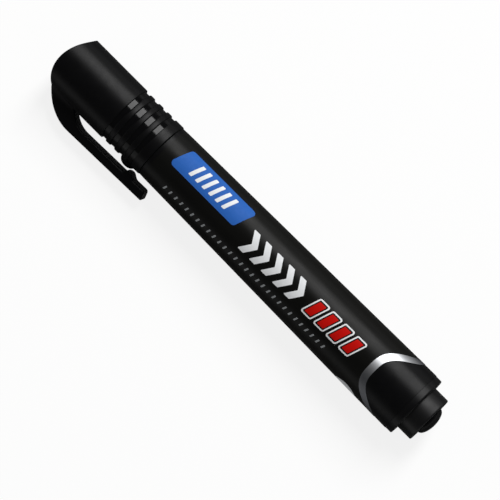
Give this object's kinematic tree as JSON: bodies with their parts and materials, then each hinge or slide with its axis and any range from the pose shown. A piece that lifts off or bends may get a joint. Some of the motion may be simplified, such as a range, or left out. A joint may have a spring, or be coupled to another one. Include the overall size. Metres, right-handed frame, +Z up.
{
  "type": "permanent marker",
  "caption": "Black felt-tip permanent marker lying down: tapered barrel with printed film, clip cap with an arched crown and grip grooves that pulls off a bullet tip, and a stepped tail plug.",
  "frame": {"origin": "middle of the base of the marker's box, on the table that it lies on", "axes": "+X along the pen to the tail, within half a degree; +Z up from the table; the clip points to -Y and down to the table"},
  "size_m": [0.1356, 0.0224, 0.0188],
  "materials": {
    "cap_plastic": "satin moulded polypropylene",
    "seal_plastic": "natural polyethylene",
    "barrel_plastic": "satin moulded polypropylene",
    "print_film": "black printed film with coloured marks",
    "holder_plastic": "moulded polypropylene",
    "nib_fibre": "bonded polyester fibre soaked with black ink",
    "reservoir_fibre": "bundled polyester fibre soaked with black ink",
    "wrap_film": "clear polypropylene film"
  },
  "bodies": {
    "barrel": {"barrel": "barrel_plastic", "label_film": "print_film", "front_section": "holder_plastic", "nib": "nib_fibre", "ink_reservoir": "reservoir_fibre", "reservoir_wrap": "wrap_film", "tail_plug": "barrel_plastic"},
    "cap": {"cap": "cap_plastic", "inner_cap": "seal_plastic"},
    "clip": {"pocket_clip": "cap_plastic"}
  },
  "joints": [
    {"name": "cap_pull", "type": "slide", "parent": "barrel", "child": "cap", "axis": [-1, 0, -0.0071], "range_m": [0, 0.045]},
    {"name": "clip_flex", "type": "hinge", "parent": "cap", "child": "clip", "pos_m": [-0.04853, -0.00888, 0.00278], "axis": [0.0063, 0.4815, -0.8764], "range_deg": [0, 7], "stiffness_Nm_per_rad": 0.2}
  ]
}
